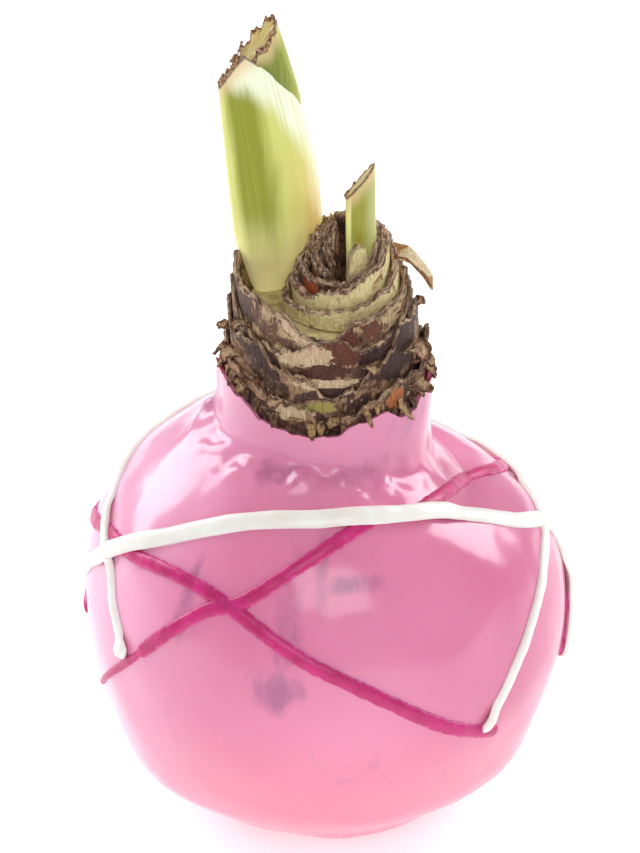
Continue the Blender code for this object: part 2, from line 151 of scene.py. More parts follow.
def flesh_finish():
    material, spot = new_finish("bulb_flesh", roughness=0.6)
    dried = spot.grain(0.35, 4).bands(0.42, 0.62)
    fibres = spot.scaled((2.2, 2.2, 0.3)).grain(1, 5, 0.65)
    cream = fibres.bands(0.3, 0.7).pick((196, 178, 116), (232, 220, 168))
    return wire_up(material, (dried * 0.5).pick(cream, (128, 92, 58)), height=fibres)


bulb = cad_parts["bulb"]
bulb.data.materials.clear()
bulb.data.materials.append(flesh_finish())

# The pink wax coat
# The bulb was dipped in tinted wax, which ran off and left a glossy skin about 2 mm thick. It is
# thickest in a ring of lumps where it slid down the neck, with a raised fin of wax at the left.
GLOBE_RADIUS = 45 * MM
GLOBE_HEIGHT = 40.5 * MM
WAX_THICKNESS = 2 * MM
WAX_NECK_RADIUS = 19.7 * MM
WAX_NECK_WALL = 0.95 * MM
WAX_NECK_FILLET = 3.2 * MM
WAX_ROLL = 0.7 * MM
LEFT_BULGE = 1.3 * MM
RIGHT_BULGE = 1.8 * MM
LOW_BULGE = 2.6 * MM
FOOT_ROLL = 1.4 * MM
NECK_LEAN = 0.061
NECK_LEAN_START = 92 * MM
NECK_SHIFT = 0.3 * MM
FOOT_FILLET = 0.8 * MM
SHOULDER_DIP = 7.6 * MM
SHOULDER_DIP_BEARING = 115
UP = Vector((0, 0, 1))


def towards(bearing):
    """The level direction at a bearing: 0 is the front, 90 the right."""
    angle = radians(bearing)
    return Vector((sin(angle), -cos(angle), 0))


def smooth_step(value, low, high):
    share = min(max((value - low) / (high - low), 0), 1)
    return share * share * (3 - 2 * share)


def smooth_min(first, second, blend):
    share = max(blend - abs(first - second), 0) / blend
    return min(first, second) - share * share * blend / 4


def bell(value, middle, width):
    return exp(-((value - middle) / width) ** 2)


def hump(bearing, middle, width):
    """A bell round the bulb, which runs on past 180 degrees."""
    return bell((bearing - middle + 180) % 360 - 180, 0, width)


def laid_grid(columns, rows, place, marks=lambda u, v: ()):
    """A bmesh grid laid over the surface that place(u, v) describes, with its edges melted.

    marks(u, v) gives up to two numbers for each point, kept as its "mark" and its "side".
    """
    body = bmesh.new()
    bmesh.ops.create_grid(body, x_segments=columns, y_segments=rows, size=0.5)
    layers = [body.verts.layers.float.new(name) for name in ("mark", "side")]
    for vert in body.verts:
        u, v = vert.co.x + 0.5, vert.co.y + 0.5
        for layer, value in zip(layers, marks(u, v)):
            vert[layer] = value
        vert.co = place(u, v)
    bmesh.ops.remove_doubles(body, verts=body.verts, dist=1e-6)
    ends = [edge for edge in body.edges if edge.is_boundary]
    if ends:
        bmesh.ops.holes_fill(body, edges=ends, sides=0)
    bmesh.ops.recalc_face_normals(body, faces=body.faces)
    return body


def new_object(name, data):
    made = bpy.data.objects.new(name, data)
    bpy.context.scene.collection.objects.link(made)
    return made


def add_piece(name, body, material, slot, *nodes, sharp=60):
    mesh = bpy.data.meshes.new(name)
    body.to_mesh(mesh)
    body.free()
    piece = new_object(name, mesh)
    mesh.materials.append(material)
    mesh.shade_smooth()
    mesh.set_sharp_from_angle(angle=radians(sharp))
    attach(piece, "root")
    for node in nodes:
        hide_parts(node)


def neck_lumps(bearing, polar, direction):
    """Relief where the wax gathered round the foot of the neck, and its fin and folds."""
    ring = smooth_step(polar, 24, 28) * (1 - smooth_step(polar, 30, 37))
    lumps = max(noise(direction * 11 + Vector((3, 1, 0))), -0.2) * 1.5 * MM * ring
    lumps *= 0.35 + 0.75 * hump(bearing, -10, 48)
    fin_foot = 1 - smooth_step(polar, 27, 34)
    fin = hump(bearing + (polar - 22) * 1.2, -90, 5) * 1.9 * MM * fin_foot
    folds = sin(radians(bearing * 7 + polar * 14)) * 0.55 * MM
    folds *= hump(bearing, 75, 34) * (1 - smooth_step(polar, 27, 33))
    return lumps + fin + folds


def neck_middle(height):
    """How far the neck's middle lies to the right of the globe's, which turns left higher up."""
    shift = NECK_SHIFT * smooth_step(height, 80 * MM, 87 * MM)
    return shift - NECK_LEAN * max(height - NECK_LEAN_START, 0)


def globe_point(bearing, polar, inset, neck_radius, relief=0):
    """A point of the bulb's skin, inset from the outside of the wax, at a polar angle from +Z."""
    turn = radians(polar)
    direction = towards(bearing) * sin(turn) + UP * cos(turn)
    lean = (0.5 + 0.5 * cos(radians(bearing - SHOULDER_DIP_BEARING))) ** 2
    dip = SHOULDER_DIP * min(exp((48 - polar) / 18), 1.15) * lean
    lumps = noise(direction * 2.2) * 0.55 * MM + noise(direction * 5) * 0.3 * MM
    lumps += LEFT_BULGE * hump(bearing, -100, 55) * bell(polar, 70, 22)
    lumps += RIGHT_BULGE * hump(bearing, 95, 55) * bell(polar, 86, 28)
    flanks = hump(bearing, 62, 42) + hump(bearing, -62, 42)
    lumps += LOW_BULGE * flanks * bell(polar, 129, 13)
    if relief:
        lumps += noise(direction * 13) * 0.07 * MM
    lumps *= smooth_step(150 - polar, 0, 25)
    foot_roll = FOOT_ROLL * bell(polar, 148, 7)
    lumps += foot_roll * (0.8 + noise(direction * 3.5))
    reach = GLOBE_RADIUS - inset - dip + lumps
    if polar < 80:
        neck = neck_radius / max(sin(turn), 0.05)
        reach = -smooth_min(-reach, -neck, WAX_NECK_FILLET)
        roll = smooth_step(polar, 24, 29) * (1 - smooth_step(polar, 31, 38))
        reach += roll * WAX_ROLL * (0.4 + noise(direction * 8))
        if relief:
            reach += relief * neck_lumps(bearing, polar, direction)
    if polar > 100:
        foot = (GLOBE_HEIGHT - inset) / -cos(turn)
        reach = smooth_min(reach, foot, FOOT_FILLET)
    point = UP * GLOBE_HEIGHT + direction * reach
    return point + Vector((neck_middle(point.z), 0, 0))


def skin_polar(share, top):
    """Polar angles from the foot's middle, 180, to the neck at top, closest at its bends."""
    if share < 0.15:
        return 180 - 25 * share / 0.15
    if share < 0.6:
        return 155 - 113 * (share - 0.15) / 0.45
    return 42 - (42 - top) * (share - 0.6) / 0.4


def round_the_neck(marks, bearing):
    """A value that runs smoothly through (bearing, value) marks all round the neck."""
    marks = sorted(marks)
    marks = [(marks[-1][0] - 360, marks[-1][1]), *marks, (marks[0][0] + 360, marks[0][1])]
    bearing = (bearing - marks[0][0]) % 360 + marks[0][0]
    for (low, start), (high, end) in zip(marks, marks[1:]):
        if low <= bearing <= high:
            return start + (end - start) * smooth_step(bearing, low, high)
    return marks[0][1]


def rim_height(bearing):
    tide = round_the_neck(((-150, 89.5), (-93, 91.6), (-75, 92.4), (-54, 91.2), (-36, 88.6),
                           (-10, 87.2), (4, 87.5), (18, 89.8), (34, 91), (45, 88.6),
                           (54, 88.6), (66, 91), (90, 90.6), (130, 89.5)), bearing)
    nicks = noise(towards(bearing) * 12) * 0.5
    return (tide + nicks) * MM


def coat_place(u, v):
    """Up the outside from the foot, over the rim, and down the inside."""
    bearing = u * 360 - 180
    rise = rim_height(bearing) - GLOBE_HEIGHT
    outer_share = 0.84
    if v <= outer_share:
        top = degrees(atan2(WAX_NECK_RADIUS, rise))
        return globe_point(bearing, skin_polar(v / outer_share, top), 0, WAX_NECK_RADIUS, 1)
    inner_radius = WAX_NECK_RADIUS - WAX_NECK_WALL
    top = degrees(atan2(inner_radius, rise))
    share = (1 - v) / (1 - outer_share)
    return globe_point(bearing, skin_polar(share, top), WAX_THICKNESS, inner_radius)


def pink_wax_finish():
    """Pink wax, clouded violet-grey where the brown bulb shows through it."""
    material, spot = new_finish(
        "pink_wax", roughness=0.18, subsurface_weight=0.25, subsurface_scale=0.003,
        coat_weight=0.15, coat_roughness=0.05)
    height, bearing = spot.axis(2), spot.bearing()
    swirl = spot.grain(0.07, 5, 0.6, 1) - 0.5
    streaks = spot.scaled((1, 1, 0.4)).grain(0.3, 5, 0.65, 0.8) - 0.5
    pink = spot.grain(0.02, 2).bands(0.3, 0.7).pick((232, 134, 172), (240, 150, 186))
    # Painted light and shade: the left side is painted paler, as where the left soft box lights
    # it, and the right side darker, as where it lies in shade.
    painted_light_left = bearing.bands(-22, -70) * bearing.bands(-160, -115)
    painted_shade_right = (bearing.bands(20, 55) * bearing.bands(120, 85)) * height.bands(20, 40)
    for region, tint in (
            (height.bands(50, 10), (242, 144, 170)), (painted_light_left * 0.6, (255, 186, 218)),
            (painted_shade_right * 0.7, (212, 112, 150)), (height.bands(72, 84) * 0.7, (222, 140, 174))):
        pink = region.pick(pink, tint)

    def cloud(middle, up, wide, tall):
        aside = (bearing - middle) * (1 / wide)
        off = (height - up) * (1 / tall)
        return (aside * aside + off * off + swirl * 4.5 + streaks * 5).bands(2, -1.4)

    murk = cloud(-9, 60, 4, 9)
    for place in ((-11.5, 48, 6, 3.6), (7, 65.8, 9, 1.3), (-1, 66.5, 2, 6),
                  (-38, 60, 2, 6), (58, 86, 16, 3.4), (22, 79.5, 14, 2),
                  (-22, 80, 12, 1.4), (84, 80, 12, 3), (-95, 83, 7, 2.4),
                  (150, 60, 14, 8), (-150, 66, 16, 6)):
        murk = murk.maths("MAXIMUM", murk, cloud(*place))
    wisps = spot.scaled((1, 1, 0.5)).grain(0.06, 5, 0.62, 1.2).bands(0.60, 0.78)
    colour = (murk * 0.6).pick((wisps * 0.35).pick(pink, (198, 118, 160)), (138, 84, 130))
    return wire_up(material, colour, 0.14 + 0.12 * spot.grain(0.2, 3), spot.grain(0.35, 2),
                   0.12, 0.2)


coat = laid_grid(256, 220, coat_place)
add_piece("pink_wax", coat, pink_wax_finish(), "pink_wax", "wax_coat")

# The poured trails
# Thin trails of magenta wax were poured across the dipped bulb, then white ones over them. Each
# set flows together where its trails cross, and the white bridges the magenta.
TRAIL_HEIGHT = 0.9 * MM
TRAIL_SINK = 0.35 * MM
MAGENTA_WIDTH = 2.8 * MM
WHITE_WIDTH = 3.5 * MM


def skin_point(direction):
    bearing = degrees(atan2(direction.x, -direction.y))
    polar = degrees(acos(direction.normalized().z))
    return globe_point(bearing, polar, 0, WAX_NECK_RADIUS, 1)


def skin_direction(bearing, height):
    """The direction from the globe's middle to the outside of the wax at a height."""
    low, high = 25, 150
    for _ in range(30):
        polar = (low + high) / 2
        if globe_point(bearing, polar, 0, WAX_NECK_RADIUS).z > height:
            low = polar
        else:
            high = polar
    turn = radians(low)
    return towards(bearing) * sin(turn) + UP * cos(turn)


def skin_normal(point):
    """The wax's outward direction, from three points of its outside close together."""
    out = (point - UP * GLOBE_HEIGHT).normalized()
    across = UP.cross(out).normalized()
    along = out.cross(across)
    reach = 0.02
    back = skin_point(out - (across + along) * reach)
    east = skin_point(out + across * reach) - back
    north = skin_point(out + along * reach) - back
    return east.cross(north).normalized()


def trail_route(marks, step):
    """Points on the wax at even steps along a smooth line through (bearing, height mm) marks."""
    knots = [skin_direction(bearing, height * MM) for bearing, height in marks]
    knots = [2 * knots[0] - knots[1], *knots, 2 * knots[-1] - knots[-2]]
    fine = []
    for before, start, end, after in zip(knots, knots[1:], knots[2:], knots[3:]):
        for piece in range(48):
            t = piece / 48
            line = 2 * start + (end - before) * t
            line += (2 * before - 5 * start + 4 * end - after) * t * t
            line += (3 * start - before - 3 * end + after) * t * t * t
            fine.append(skin_point(line))
    fine.append(skin_point(knots[-2]))
    length = sum((b - a).length for a, b in zip(fine, fine[1:]))
    count = round(length / step)
    route, walked, wanted = [fine[0]], 0, length / count
    for a, b in zip(fine, fine[1:]):
        walked += (b - a).length
        if walked >= wanted and len(route) < count:
            route.append(b)
            wanted += length / count
    return [*route, fine[-1]]


def trail_body(route, width, lift, drip, frayed, seed, thin=0):
    """A poured trail as a low rounded bead along the route, thinner where the pour began."""
    around = 12
    last = len(route) - 1
    normals = [skin_normal(point) for point in route]
    lifts = [lift(point) for point in route]

    def section(v):
        """Half an oval above the skin, closed by a flat underside below it."""
        share = (v * around % around) / around
        if share > 0.8:
            return 0.5 - (share - 0.8) / 0.2, -0.1
        angle = pi * (share / 0.8)
        return -cos(angle) * 0.5, sin(angle) ** 0.75

    def place(u, v):
        index = round(u * last)
        point = route[index]
        ahead = route[min(index + 1, last)] - route[max(index - 1, 0)]
        side = ahead.cross(normals[index]).normalized()
        pitch = ahead.length / 2
        distance = min(index, last - index) * pitch
        soft = sqrt(min(distance / (width * 0.5), 1)) if distance else 0.05
        from_drop = (last - index) * pitch - width * 0.7
        swell = 1 + drip * exp(-(from_drop / (width * 0.7)) ** 2)
        swell *= 1 - thin * (1 - smooth_step(index * pitch, 10 * MM, 34 * MM))
        across, high = section(v)
        ripple = 1 + 0.13 * noise(point * 140 + Vector((seed, 0, 0)))
        edge = Vector((seed, 5 if across > 0 else 9, 0))
        fray = frayed * noise(point * 900 + edge) * abs(across) * 2
        reach = across * width * soft * swell * ripple + fray * MM * (1 if across > 0 else -1)
        tall = TRAIL_HEIGHT * (0.35 + 0.65 * soft) * swell ** 0.5
        tall *= 1 + 0.15 * noise(point * 420 + Vector((0, seed, 0)))
        stand = lifts[index] + high * tall
        if high < 0:
            stand = lifts[index] * 0.5 - TRAIL_SINK
        return point + side * reach + normals[index] * stand

    return laid_grid(last, around, place, lambda u, v: (abs(section(v)[0]) * 2,))


def joined(bodies):
    whole = bmesh.new()
    for body in bodies:
        mesh = bpy.data.meshes.new("part")
        body.to_mesh(mesh)
        whole.from_mesh(mesh)
        bpy.data.meshes.remove(mesh)
        body.free()
    return whole


def magenta_finish():
    material, spot = new_finish(
        "magenta_wax", roughness=0.35, subsurface_weight=0.15, subsurface_scale=0.002,
        coat_weight=0.2, coat_roughness=0.1)
    worn = (spot.kept("mark") + 0.5 * spot.grain(0.9, 3)).bands(1.02, 1.42)
    deep = spot.grain(0.25, 3).bands(0.35, 0.65).pick((208, 26, 122), (188, 16, 102))
    return wire_up(material, worn.pick(deep, (240, 110, 186)), 0.3 + 0.25 * spot.grain(0.8, 3),
                   spot.grain(1.2, 4, 0.6))


def white_finish():
    material, spot = new_finish(
        "white_wax", roughness=0.3, subsurface_weight=0.2, subsurface_scale=0.002,
        coat_weight=0.25, coat_roughness=0.1)
    colour = spot.grain(0.2, 3).bands(0.3, 0.75).pick((252, 250, 244), (246, 238, 230))
    return wire_up(material, colour, 0.25 + 0.15 * spot.grain(0.5, 3), spot.grain(0.7, 2), 0.1)


magenta_marks = (
    ((80, 32), (86, 36), (90, 40), (108, 40), (130, 38), (165, 38), (-160, 42), (-125, 49),
     (-98, 55.1), (-80, 60), (-62, 62), (-42, 63.3), (-26.4, 61.5), (-6.7, 54.5), (3.5, 50.5),
     (15, 45.1), (27, 38.5), (36, 34.4), (46, 30.6)),
    ((-75, 28.3), (-52.3, 44.2), (-42.2, 52.6), (-31.1, 59.8), (-22.4, 62.2), (-8.6, 68.4),
     (2.5, 71.5), (22, 73.7), (38, 72.6), (64, 70.5), (90, 66.6), (108, 62.6), (124, 56.5),
     (145, 53), (170, 50), (-165, 45), (-135, 41), (-105, 39.5), (-88, 38)),
)
magenta_routes = [trail_route(marks, 0.45 * MM) for marks in magenta_marks]
magenta_bodies = [
    trail_body(route, MAGENTA_WIDTH, lambda point: 0, 0, 0.2, seed, 0.52 * seed)
    for seed, route in enumerate(magenta_routes)
]
add_piece("magenta_trails", joined(magenta_bodies), magenta_finish(), "magenta_wax",
          "wax_trails_magenta")

BRIDGE_FULL = 2.6 * MM
BRIDGE_START = 6 * MM
under_white = [point for route in magenta_routes for point in route[::4]]


def over_magenta(point):
    near = min((point - other).length for other in under_white)
    return (1 - smooth_step(near, BRIDGE_FULL, BRIDGE_START)) * TRAIL_HEIGHT * 0.9


white_marks = (
    (((81, 31.5), (86, 37), (93, 43.5), (98, 50), (92, 56.5), (78, 62), (54, 69.2), (27, 73.2),
      (-2, 74.8), (-28, 73.4), (-52, 67.6), (-61.4, 64), (-69, 60.2), (-78, 55), (-91, 46.5),
      (-112, 38), (-138, 33), (-160, 28)), 1, 0.35),
    (((39.5, 33.3), (44, 37), (51, 43), (62, 50), (74, 54.3), (83, 55.6), (94, 56.6),
      (106, 57.4), (119, 57), (134, 58), (155, 63), (-175, 71), (-135, 71), (-107, 67),
      (-87, 63.3), (-75, 59.4), (-68.4, 57), (-61.1, 50.9), (-53.6, 44.1)), 0.66, 0.8),
)
white_bodies = [
    trail_body(trail_route(marks, 0.6 * MM), WHITE_WIDTH * share, over_magenta, drip, 0, seed)
    for seed, (marks, share, drip) in enumerate(white_marks)
]
add_piece("white_trails", joined(white_bodies), white_finish(), "white_wax", "wax_trails_white")

# The outer leaf base and the torn tunics
# The neck is the cut stub of last year's leaves. The outermost base is still fleshy inside its
# dry edge, and papery tunics peel from it in torn bands that curl over the wax.
TUNIC_FOOT = 85.2 * MM


def neck_wobble(bearing, height):
    way = towards(bearing)
    return noise(Vector((way.x * 1.5, way.y * 1.5, height / (14 * MM)))) * 0.35 * MM


def wall_body(node, radii, top, foot=TUNIC_FOOT, arc=(-180, 180), steps=220, rows=16,
              middle=None, ragged=0, flare=0, dent=0, bulge=0, lip=0.12):
    """A thin wall round the neck with a torn or cut upper edge, corrugated where it dried.

    Its sizes are in mm, apart from its foot and middle. Without a middle it follows the neck.
    """
    inside, outside, ragged, flare, dent, bulge, lip = (
        size * MM for size in (*radii, ragged, flare, dent, bulge, lip))
    right, back = middle or (0, 0)
    start, end = arc
    loop = 2 * rows + 4
    seed = sum(ord(letter) for letter in node) * 0.7

    def spread(v):
        """Across the wall from its inside, up it, and how far its crown stands out."""
        mark = round(v * loop) % loop
        if mark <= rows:
            return 1, mark / rows, 0
        if mark == rows + 1:
            return 0.5, 1, 0.3 * MM
        if mark <= 2 * rows + 2:
            return 0, (2 * rows + 2 - mark) / rows, 0
        return 0.5, 0, 0

    def place(u, v):
        bearing = start + (end - start) * u
        across, share, crown = spread(v)
        way = towards(bearing)
        edge = round_the_neck(top, bearing) * MM
        edge += noise(Vector((way.x * 5.5, way.y * 5.5, seed))) * ragged
        edge += noise(Vector((way.x * 19, way.y * 19, seed))) * ragged * 0.5
        height = foot + (edge - foot) * share
        radius = inside + (outside - inside) * across
        if not middle:
            radius += neck_wobble(bearing, height)
        radius += bulge * hump(bearing, -85, 35) - dent * hump(bearing, -138, 36)
        radius += flare * share * share
        near_edge = smooth_step(height, edge - 1.8 * MM, edge)
        ropes = noise(Vector((way.x * 26, way.y * 26, height * 90 + seed)))
        fibre = noise(Vector((way.x * 60, way.y * 60, height * 160 + seed)))
        relief = (ropes * 0.22 + fibre * 0.14) * MM
        radius += relief * (0.45 + 0.9 * near_edge) + lip * near_edge * (2 * across - 1)
        lift = (ropes * 0.5 + fibre * 0.3) * MM * near_edge
        return Vector((right + neck_middle(height) + way.x * radius, back + way.y * radius,
                       height + crown + lift))

    def marks(u, v):
        """How far below the edge a point is, in mm."""
        edge = round_the_neck(top, start + (end - start) * u) * MM
        return ((edge - foot) * (1 - spread(v)[1]) / MM,)

    return laid_grid(steps, loop, place, marks)


class NeckPaint:
    """The pattern of a dry leaf base, laid out by bearing and height round the neck."""

    def __init__(self, name):
        self.material, spot = new_finish(name, roughness=0.55)
        self.height, self.bearing = spot.axis(2), spot.bearing()
        self.below_edge = spot.kept("mark")
        self.fibres = spot.scaled((2.6, 2.6, 0.5)).grain(1, 6, 0.7, 0.6)
        self.fine = spot.scaled((1, 1, 0.4)).grain(5, 4, 0.65, 0.3)
        self.blots = spot.grain(0.22, 5, 0.65, 0.9)
        self.ragged = spot.grain(0.55, 5, 0.7, 0.4) - 0.5
        x, y = spot.axis(0), spot.axis(1)
        radius = x.maths("POWER", x * x + y * y, 0.5)
        along_rim = spot.node("CombineXYZ", {}, {
            0: self.bearing * 0.10, 1: self.below_edge * 1.3, 2: radius * 2.1})
        self.ropes = along_rim.grain(1, 3, 0.6).bands(0.40, 0.60)
        self.stripes = self.fibres.bands(0.32, 0.68)
        self.specks = self.fine.bands(0.5, 0.75) * 0.5

    def blend(self, light, dark):
        return self.specks.pick(self.stripes.pick(light, dark), dark)

    def patch(self, at, half, slant=0, ragged=2):
        """Where a ragged oval at (bearing, height mm) lies, that rises slant mm per degree."""
        (middle, up), (wide, tall) = at, half
        aside = (self.bearing - middle) * (1 / wide)
        off = (self.height - up - (self.bearing - middle) * slant) * (1 / tall)
        reach = aside * aside + off * off + ragged * self.ragged * 2
        return reach.bands(1.1, 0.9)

    def finish(self, tone, patches, edge, edge_depth, bump):
        """The tone under patches of (light, dark, where), with a dried edge so many mm deep."""
        for light, dark, *where in patches:
            tone = self.patch(*where).pick(tone, self.blend(light, dark))
        reach = self.below_edge + self.ragged * 1.8 - (self.blots - 0.5) * 2.6
        dried = reach.bands(edge_depth + 0.25, edge_depth - 0.25)
        relief = self.fibres * 0.5 + self.fine * 0.2 + self.ropes * 0.3
        return wire_up(self.material, dried.pick(tone, self.ropes.pick(*edge)),
                       0.4 + 0.4 * self.fibres, relief, 0.6, bump)


def blotched_finish(name, light, dark, blots, edge, edge_depth, bump, patches=()):
    paint = NeckPaint(name)
    tone = paint.blots.bands(*blots).pick(paint.blend(*light), paint.blend(*dark))
    return paint.finish(tone, patches, edge, edge_depth, bump)


def tunic_finish():
    """Purple-brown and tan, with the cream, rust and plum patches that the front shows, and a
    near-black patch of painted shade where a gap lies.
    """
    paint = NeckPaint("papery_tunic")
    cream = ((228, 208, 172), (184, 150, 110))
    rust = ((124, 66, 40), (78, 36, 24))
    plum = ((88, 54, 46), (42, 22, 20))
    tan = paint.blend((188, 152, 114), (120, 84, 60))
    brown = paint.blend((102, 66, 50), (50, 28, 22))
    tone = paint.blots.bands(0.42, 0.50).pick(tan, brown)
    tone = paint.blots.bands(0.60, 0.64).pick(tone, paint.blend(*cream))
    patches = (
        (*cream, (-5, 101.6), (25, 2.8)),
        ((230, 206, 174), (196, 140, 116), (-16, 106.2), (15, 2.8), -0.16),
        (*plum, (-43, 101.4), (15, 3.2), -0.27, 0.8),
        (*rust, (16, 105), (20, 2.6)),
        (*rust, (13, 102.2), (9, 2.8)),
        ((96, 48, 30), (58, 28, 20), (0, 98.6), (17, 1.9)),
        (*cream, (0, 96.3), (20, 0.9)),
        (*plum, (1, 94.5), (14, 1), 0, 0.7),
        ((184, 176, 92), (150, 130, 66), (-3, 92), (10, 1)),
        (*cream, (-20, 90.6), (9, 1.7)),
        (*plum, (47, 101.5), (24, 6.2), 0.06, 0.9),
        # The near-black patch beside the plum one is painted shade, standing for a deep gap
        # between the tunics.
        ((24, 13, 11), (24, 13, 11), (33, 103.6), (4, 2.6), 0, 0.8),
        ((206, 128, 62), (140, 70, 36), (43, 91.8), (6, 2.2)),
        ((206, 164, 124), (132, 90, 62), (-58, 95.6), (24, 1.7), -0.12),
    )
    return paint.finish(tone, patches, ((96, 62, 46), (214, 180, 146)), 0.25, 1)


outer_base = blotched_finish(
    "outer_leaf_base", ((214, 190, 148), (168, 132, 88)), ((132, 96, 72), (74, 48, 40)),
    (0.46, 0.54), ((88, 56, 42), (206, 172, 138)), 0.4, 0.9, (
        ((232, 214, 180), (200, 150, 124), (-16, 106.6), (15, 2.8), -0.16),
        ((122, 64, 42), (84, 40, 28), (18, 105.6), (22, 2.6)),
        ((112, 84, 68), (66, 42, 34), (-75, 108.5), (24, 5))))
papery = tunic_finish()
LOW_TUNIC_FOOT = 86 * MM
neck_walls = (
    ("outer_leaf_base", "leaf_base_outer", outer_base, "leaf_base", (14.9, 15.8),
     dict(ragged=0.9),
     ((-120, 110.5), (-104, 111), (-97, 114), (-88, 111), (-60, 110.5), (-27, 109),
      (-12, 105.5), (5, 104), (22, 107), (60, 108.5), (100, 110.5), (180, 114))),
    ("upper_tunic", "tunic_upper", papery, "dry_tunic", (16, 16.6),
     dict(ragged=1.4),
     ((-120, 107), (-88, 109), (-65, 105), (-45, 102), (-20, 102.5), (5, 104.5),
      (30, 102), (48, 104), (75, 107), (95, 107.5), (180, 109))),
    ("middle_tunic", "tunic_middle", papery, "dry_tunic", (16.85, 17.45),
     dict(ragged=1.8),
     ((-130, 101), (-95, 104.5), (-72, 101), (-45, 102.5), (-25, 99), (0, 94.5),
      (18, 95), (36, 99.5), (56, 104.5), (80, 105.5), (120, 101), (180, 103))),
    ("low_tunic_left", "tunic_low_left", papery, "dry_tunic", (17.7, 18.3),
     dict(foot=LOW_TUNIC_FOOT, arc=(-150, -6), steps=110, rows=10, ragged=1.8, flare=0.2),
     ((-150, 91), (-120, 94), (-95, 97.5), (-75, 94.5), (-55, 96), (-30, 92.8), (-5, 91))),
    ("low_tunic_right", "tunic_low_right", papery, "dry_tunic", (17.7, 18.3),
     dict(foot=LOW_TUNIC_FOOT, arc=(8, 120), steps=90, rows=10, ragged=1.4, flare=0.9),
     ((10, 91), (28, 92.5), (46, 95.5), (66, 94.5), (88, 98), (118, 95))),
)
for name, node, material, slot, radii, shape, top in neck_walls:
    add_piece(name, wall_body(node, radii, top, **shape), material, slot, node, sharp=75)

# The fringe of torn scraps
# Where the lowest tunics were torn off they left thin dry strips, which curl out over the wax
# rim. Larger ones peel away round the front of the neck, cream and brown.
ROOT_DEPTH = 1.2 * MM


def strip_row(v, rows):
    """Whether a point is on a strip's upper face, and its row along the strip."""
    mark = round(v * 2 * rows) % (2 * rows)
    return mark <= rows, min(mark, 2 * rows - mark)


def strip_mark(u, v, rows):
    """0 at a strip's torn edge, and more further in."""
    return (min(1 - strip_row(v, rows)[1] / rows, 0.5 - abs(u - 0.5)) * 4,)


def scrap_body(bearing, height, radius, heading, curl, length, width, drift, seed):
    """A thin strip rooted on the neck. heading is 0 down, 90 out, 180 up, and turns by curl."""
    rows, columns = 14, 6
    way = towards(bearing)
    aside = Vector((-way.y, way.x, 0))
    spine = [Vector((neck_middle(height * MM), 0, height * MM)) + way * radius * MM]
    lines = []
    for step in range(rows + 1):
        angle = radians(heading + curl * step / rows)
        ahead = way * sin(angle) - UP * cos(angle) + aside * drift
        lines.append(ahead.cross(aside).normalized())
        spine.append(spine[-1] + ahead * length * MM / rows)
    spine[0] -= way * ROOT_DEPTH

    def place(u, v):
        upper, step = strip_row(v, rows)
        share = step / rows
        ragged = 1 + 0.5 * noise(Vector((share * 5, u * 2, seed)))
        across = (u - 0.5) * width * (1 - 0.75 * share ** 1.5) * ragged * MM
        cup = (u - 0.5) ** 2 * width * 0.5 * MM
        thick = (0.16 if upper else -0.16) * MM
        wave = noise(Vector((share * 4, u * 3, seed + 9))) * 0.35 * MM
        return spine[step] + aside * across + lines[step] * (cup + thick + wave)

    return laid_grid(columns, 2 * rows, place, lambda u, v: strip_mark(u, v, rows))


SCRAP_BLOTS = (0.44, 0.56)
SCRAP_EDGE = ((70, 42, 30), (150, 104, 68))
fringe = []
for number in range(46):
    shake = Vector((number * 1.37, number * 0.71, 0.5))
    bearing = -150 + 6.4 * number + noise(shake) * 7
    sway = noise(shake + Vector((9, 0, 0)))
    twist = noise(shake + Vector((0, 9, 0)))
    height = rim_height(bearing) / MM + 1.6 + sway * 1.6
    fringe.append(scrap_body(bearing, height, 18.6 + 0.3 * sway, 26 + 40 * twist,
                             -40 + 90 * sway, 2.6 + 2.4 * twist, 1.5 + 1.6 * sway,
                             0.9 * twist, number * 3.1))
fringe_scraps = blotched_finish(
    "fringe_scraps", ((214, 184, 132), (150, 106, 62)), ((110, 72, 48), (62, 38, 28)),
    SCRAP_BLOTS, SCRAP_EDGE, 0.35, 0.8)
add_piece("rim_fringe", joined(fringe), fringe_scraps, "dry_tunic", sharp=80)

peels = (
    (60, 99, 18, 140, -170, 4, 6.5, 0.1, 1),
    (70, 95.5, 18.3, 150, -150, 3.2, 5, -0.2, 2),
    (58, 92.5, 18.6, 60, 40, 4, 5, 0.2, 3),
    (45, 91.5, 18.5, 15, 60, 5.2, 1.5, 0.1, 4),
    (48, 90.5, 18.8, 10, -70, 4.6, 1, -0.2, 5),
    (-88, 99, 17.7, 160, -130, 2, 4, 0.2, 6),
    (-80, 96, 18, 150, -130, 1.8, 3.6, -0.1, 7),
    (-66, 97.2, 18.1, 140, -140, 2.6, 5, 0.1, 8),
    (-48, 94.6, 18.2, 145, -120, 2.4, 5, 0.3, 9),
    (-30, 92.5, 18.2, 140, -140, 2.2, 4.4, 0.2, 10),
    (23, 107, 15.9, 20, 30, 3.2, 2.2, 0.1, 11),
    (-60, 104, 16.8, 140, -120, 2.2, 4, 0.2, 12),
    (30, 99, 17.3, 130, -120, 2.4, 4, -0.2, 13),
    (88, 104, 17.2, 155, -140, 1.6, 4, 0.2, 14),
)
peeling_tunic = blotched_finish(
    "peeling_tunic", ((232, 208, 168), (180, 132, 84)), ((128, 80, 48), (66, 38, 28)),
    SCRAP_BLOTS, SCRAP_EDGE, 0.35, 0.8)
add_piece("peeling_scraps", joined([scrap_body(*row) for row in peels]), peeling_tunic,
          "dry_tunic", sharp=80)

# The inner leaf bases
# Inside the outer base, cut cups of leaf base stand nested round the short shoot. Each was cut
# aslant, so it runs low at the front left and high at the back, with a thick dried edge.
NECK_FOOT = 104.3 * MM
CUP_MIDDLE = (4.1 * MM, -1.4 * MM)
CUP_DENT = 1.2
CUP_EDGE = ((92, 56, 42), (212, 178, 148))
RED_SPOT = ((150, 40, 24), (196, 110, 60), (-30, 110.5), (20, 1.6))

